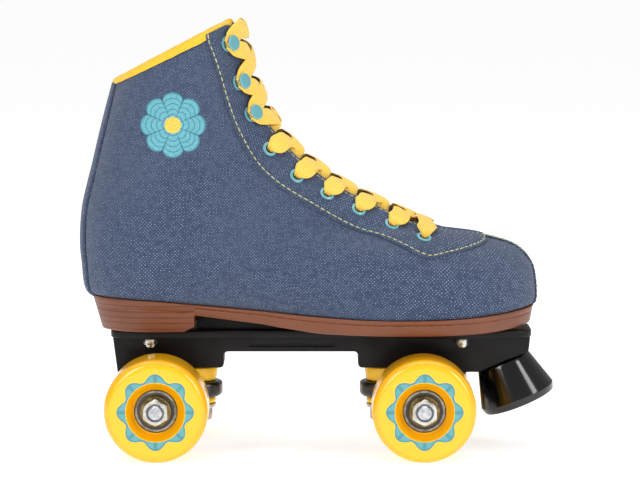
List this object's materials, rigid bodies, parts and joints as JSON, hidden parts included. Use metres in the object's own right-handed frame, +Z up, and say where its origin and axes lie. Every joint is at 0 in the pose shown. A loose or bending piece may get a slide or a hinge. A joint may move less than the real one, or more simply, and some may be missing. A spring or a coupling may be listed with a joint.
{
  "type": "quad roller skate",
  "caption": "High lace-up fabric roller skate boot on a black plate, with two sprung steering trucks, paired urethane wheels on ball bearings, and a toe stop.",
  "frame": {"origin": "on the ground, under the middle of the skate's length and width", "axes": "+X towards the toe, +Y towards the inner side of this right skate, +Z up"},
  "size_m": [0.2515, 0.1256, 0.2262],
  "materials": {
    "denim": "coarse blue denim weave",
    "yellow_tape": "woven tape and ribbed lace",
    "teal_paint": "satin paint",
    "sole_brown": "satin",
    "board_tan": "pressed fibre board",
    "lining_blue": "knitted lining on foam",
    "black_nylon": "fine moulded grain",
    "black_rubber": "gloss",
    "black_metal": "semi gloss",
    "yellow_rubber": "satin",
    "wheel_yellow": "glossy cast urethane",
    "zinc": "yellowish zinc plate",
    "steel": "ground"
  },
  "bodies": {
    "root": {"boot_upper": "denim", "tongue": "denim", "facing_outer": "denim", "facing_inner": "denim", "collar_binding": "yellow_tape", "lace": "yellow_tape", "lace_hook_outer_1": "teal_paint", "lace_hook_outer_2": "teal_paint", "lace_hook_outer_3": "teal_paint", "lace_hook_inner_1": "teal_paint", "lace_hook_inner_2": "teal_paint", "lace_hook_inner_3": "teal_paint", "sole": "sole_brown", "insole_board": "board_tan", "footbed": "lining_blue", "baseplate": "black_nylon", "mounting_bolt_rear_outer": "zinc", "mounting_bolt_rear_inner": "zinc", "mounting_bolt_front_outer": "zinc", "mounting_bolt_front_inner": "zinc", "mounting_nut_rear_outer": "zinc", "mounting_nut_rear_inner": "zinc", "mounting_nut_front_outer": "zinc", "mounting_nut_front_inner": "zinc", "toe_stop": "black_rubber", "toe_stop_washer": "zinc", "toe_stop_bolt": "zinc", "kingpin_rear": "zinc", "kingpin_nut_rear": "zinc", "cushion_washer_rear": "zinc", "upper_cushion_rear": "yellow_rubber", "lower_cushion_rear": "yellow_rubber", "pivot_cup_rear": "black_rubber", "kingpin_front": "zinc", "kingpin_nut_front": "zinc", "cushion_washer_front": "zinc", "upper_cushion_front": "yellow_rubber", "lower_cushion_front": "yellow_rubber", "pivot_cup_front": "black_rubber"},
    "rear_truck": {"truck_hanger_rear": "black_metal", "axle_rear": "steel", "axle_nut_rear_outer": "zinc", "axle_nut_rear_inner": "zinc"},
    "rear_outer_wheel": {"wheel_rear_outer": "wheel_yellow", "bearing_rear_outer_near": "steel", "bearing_rear_outer_far": "steel"},
    "rear_inner_wheel": {"wheel_rear_inner": "wheel_yellow", "bearing_rear_inner_near": "steel", "bearing_rear_inner_far": "steel"},
    "front_truck": {"truck_hanger_front": "black_metal", "axle_front": "steel", "axle_nut_front_outer": "zinc", "axle_nut_front_inner": "zinc"},
    "front_outer_wheel": {"wheel_front_outer": "wheel_yellow", "bearing_front_outer_near": "steel", "bearing_front_outer_far": "steel"},
    "front_inner_wheel": {"wheel_front_inner": "wheel_yellow", "bearing_front_inner_near": "steel", "bearing_front_inner_far": "steel"}
  },
  "joints": [
    {"name": "rear_truck_steer", "type": "hinge", "parent": "root", "child": "rear_truck", "pos_m": [-0.0656, 0, 0.03067], "axis": [-0.9614, 0, 0.2751], "range_deg": [-8, 8], "stiffness_Nm_per_rad": 30, "deforming": ["upper_cushion_rear", "lower_cushion_rear"]},
    {"name": "rear_outer_wheel_spin", "type": "hinge", "parent": "rear_truck", "child": "rear_outer_wheel", "pos_m": [-0.0849, -0.044, 0.02677], "axis": [0, 1, 0], "continuous": true},
    {"name": "rear_inner_wheel_spin", "type": "hinge", "parent": "rear_truck", "child": "rear_inner_wheel", "pos_m": [-0.0849, 0.044, 0.02677], "axis": [0, 1, 0], "continuous": true},
    {"name": "front_truck_steer", "type": "hinge", "parent": "root", "child": "front_truck", "pos_m": [0.0347, 0, 0.03067], "axis": [0.9614, 0, 0.2751], "range_deg": [-8, 8], "stiffness_Nm_per_rad": 30, "deforming": ["upper_cushion_front", "lower_cushion_front"]},
    {"name": "front_outer_wheel_spin", "type": "hinge", "parent": "front_truck", "child": "front_outer_wheel", "pos_m": [0.054, -0.044, 0.02677], "axis": [0, 1, 0], "continuous": true},
    {"name": "front_inner_wheel_spin", "type": "hinge", "parent": "front_truck", "child": "front_inner_wheel", "pos_m": [0.054, 0.044, 0.02677], "axis": [0, 1, 0], "continuous": true}
  ]
}
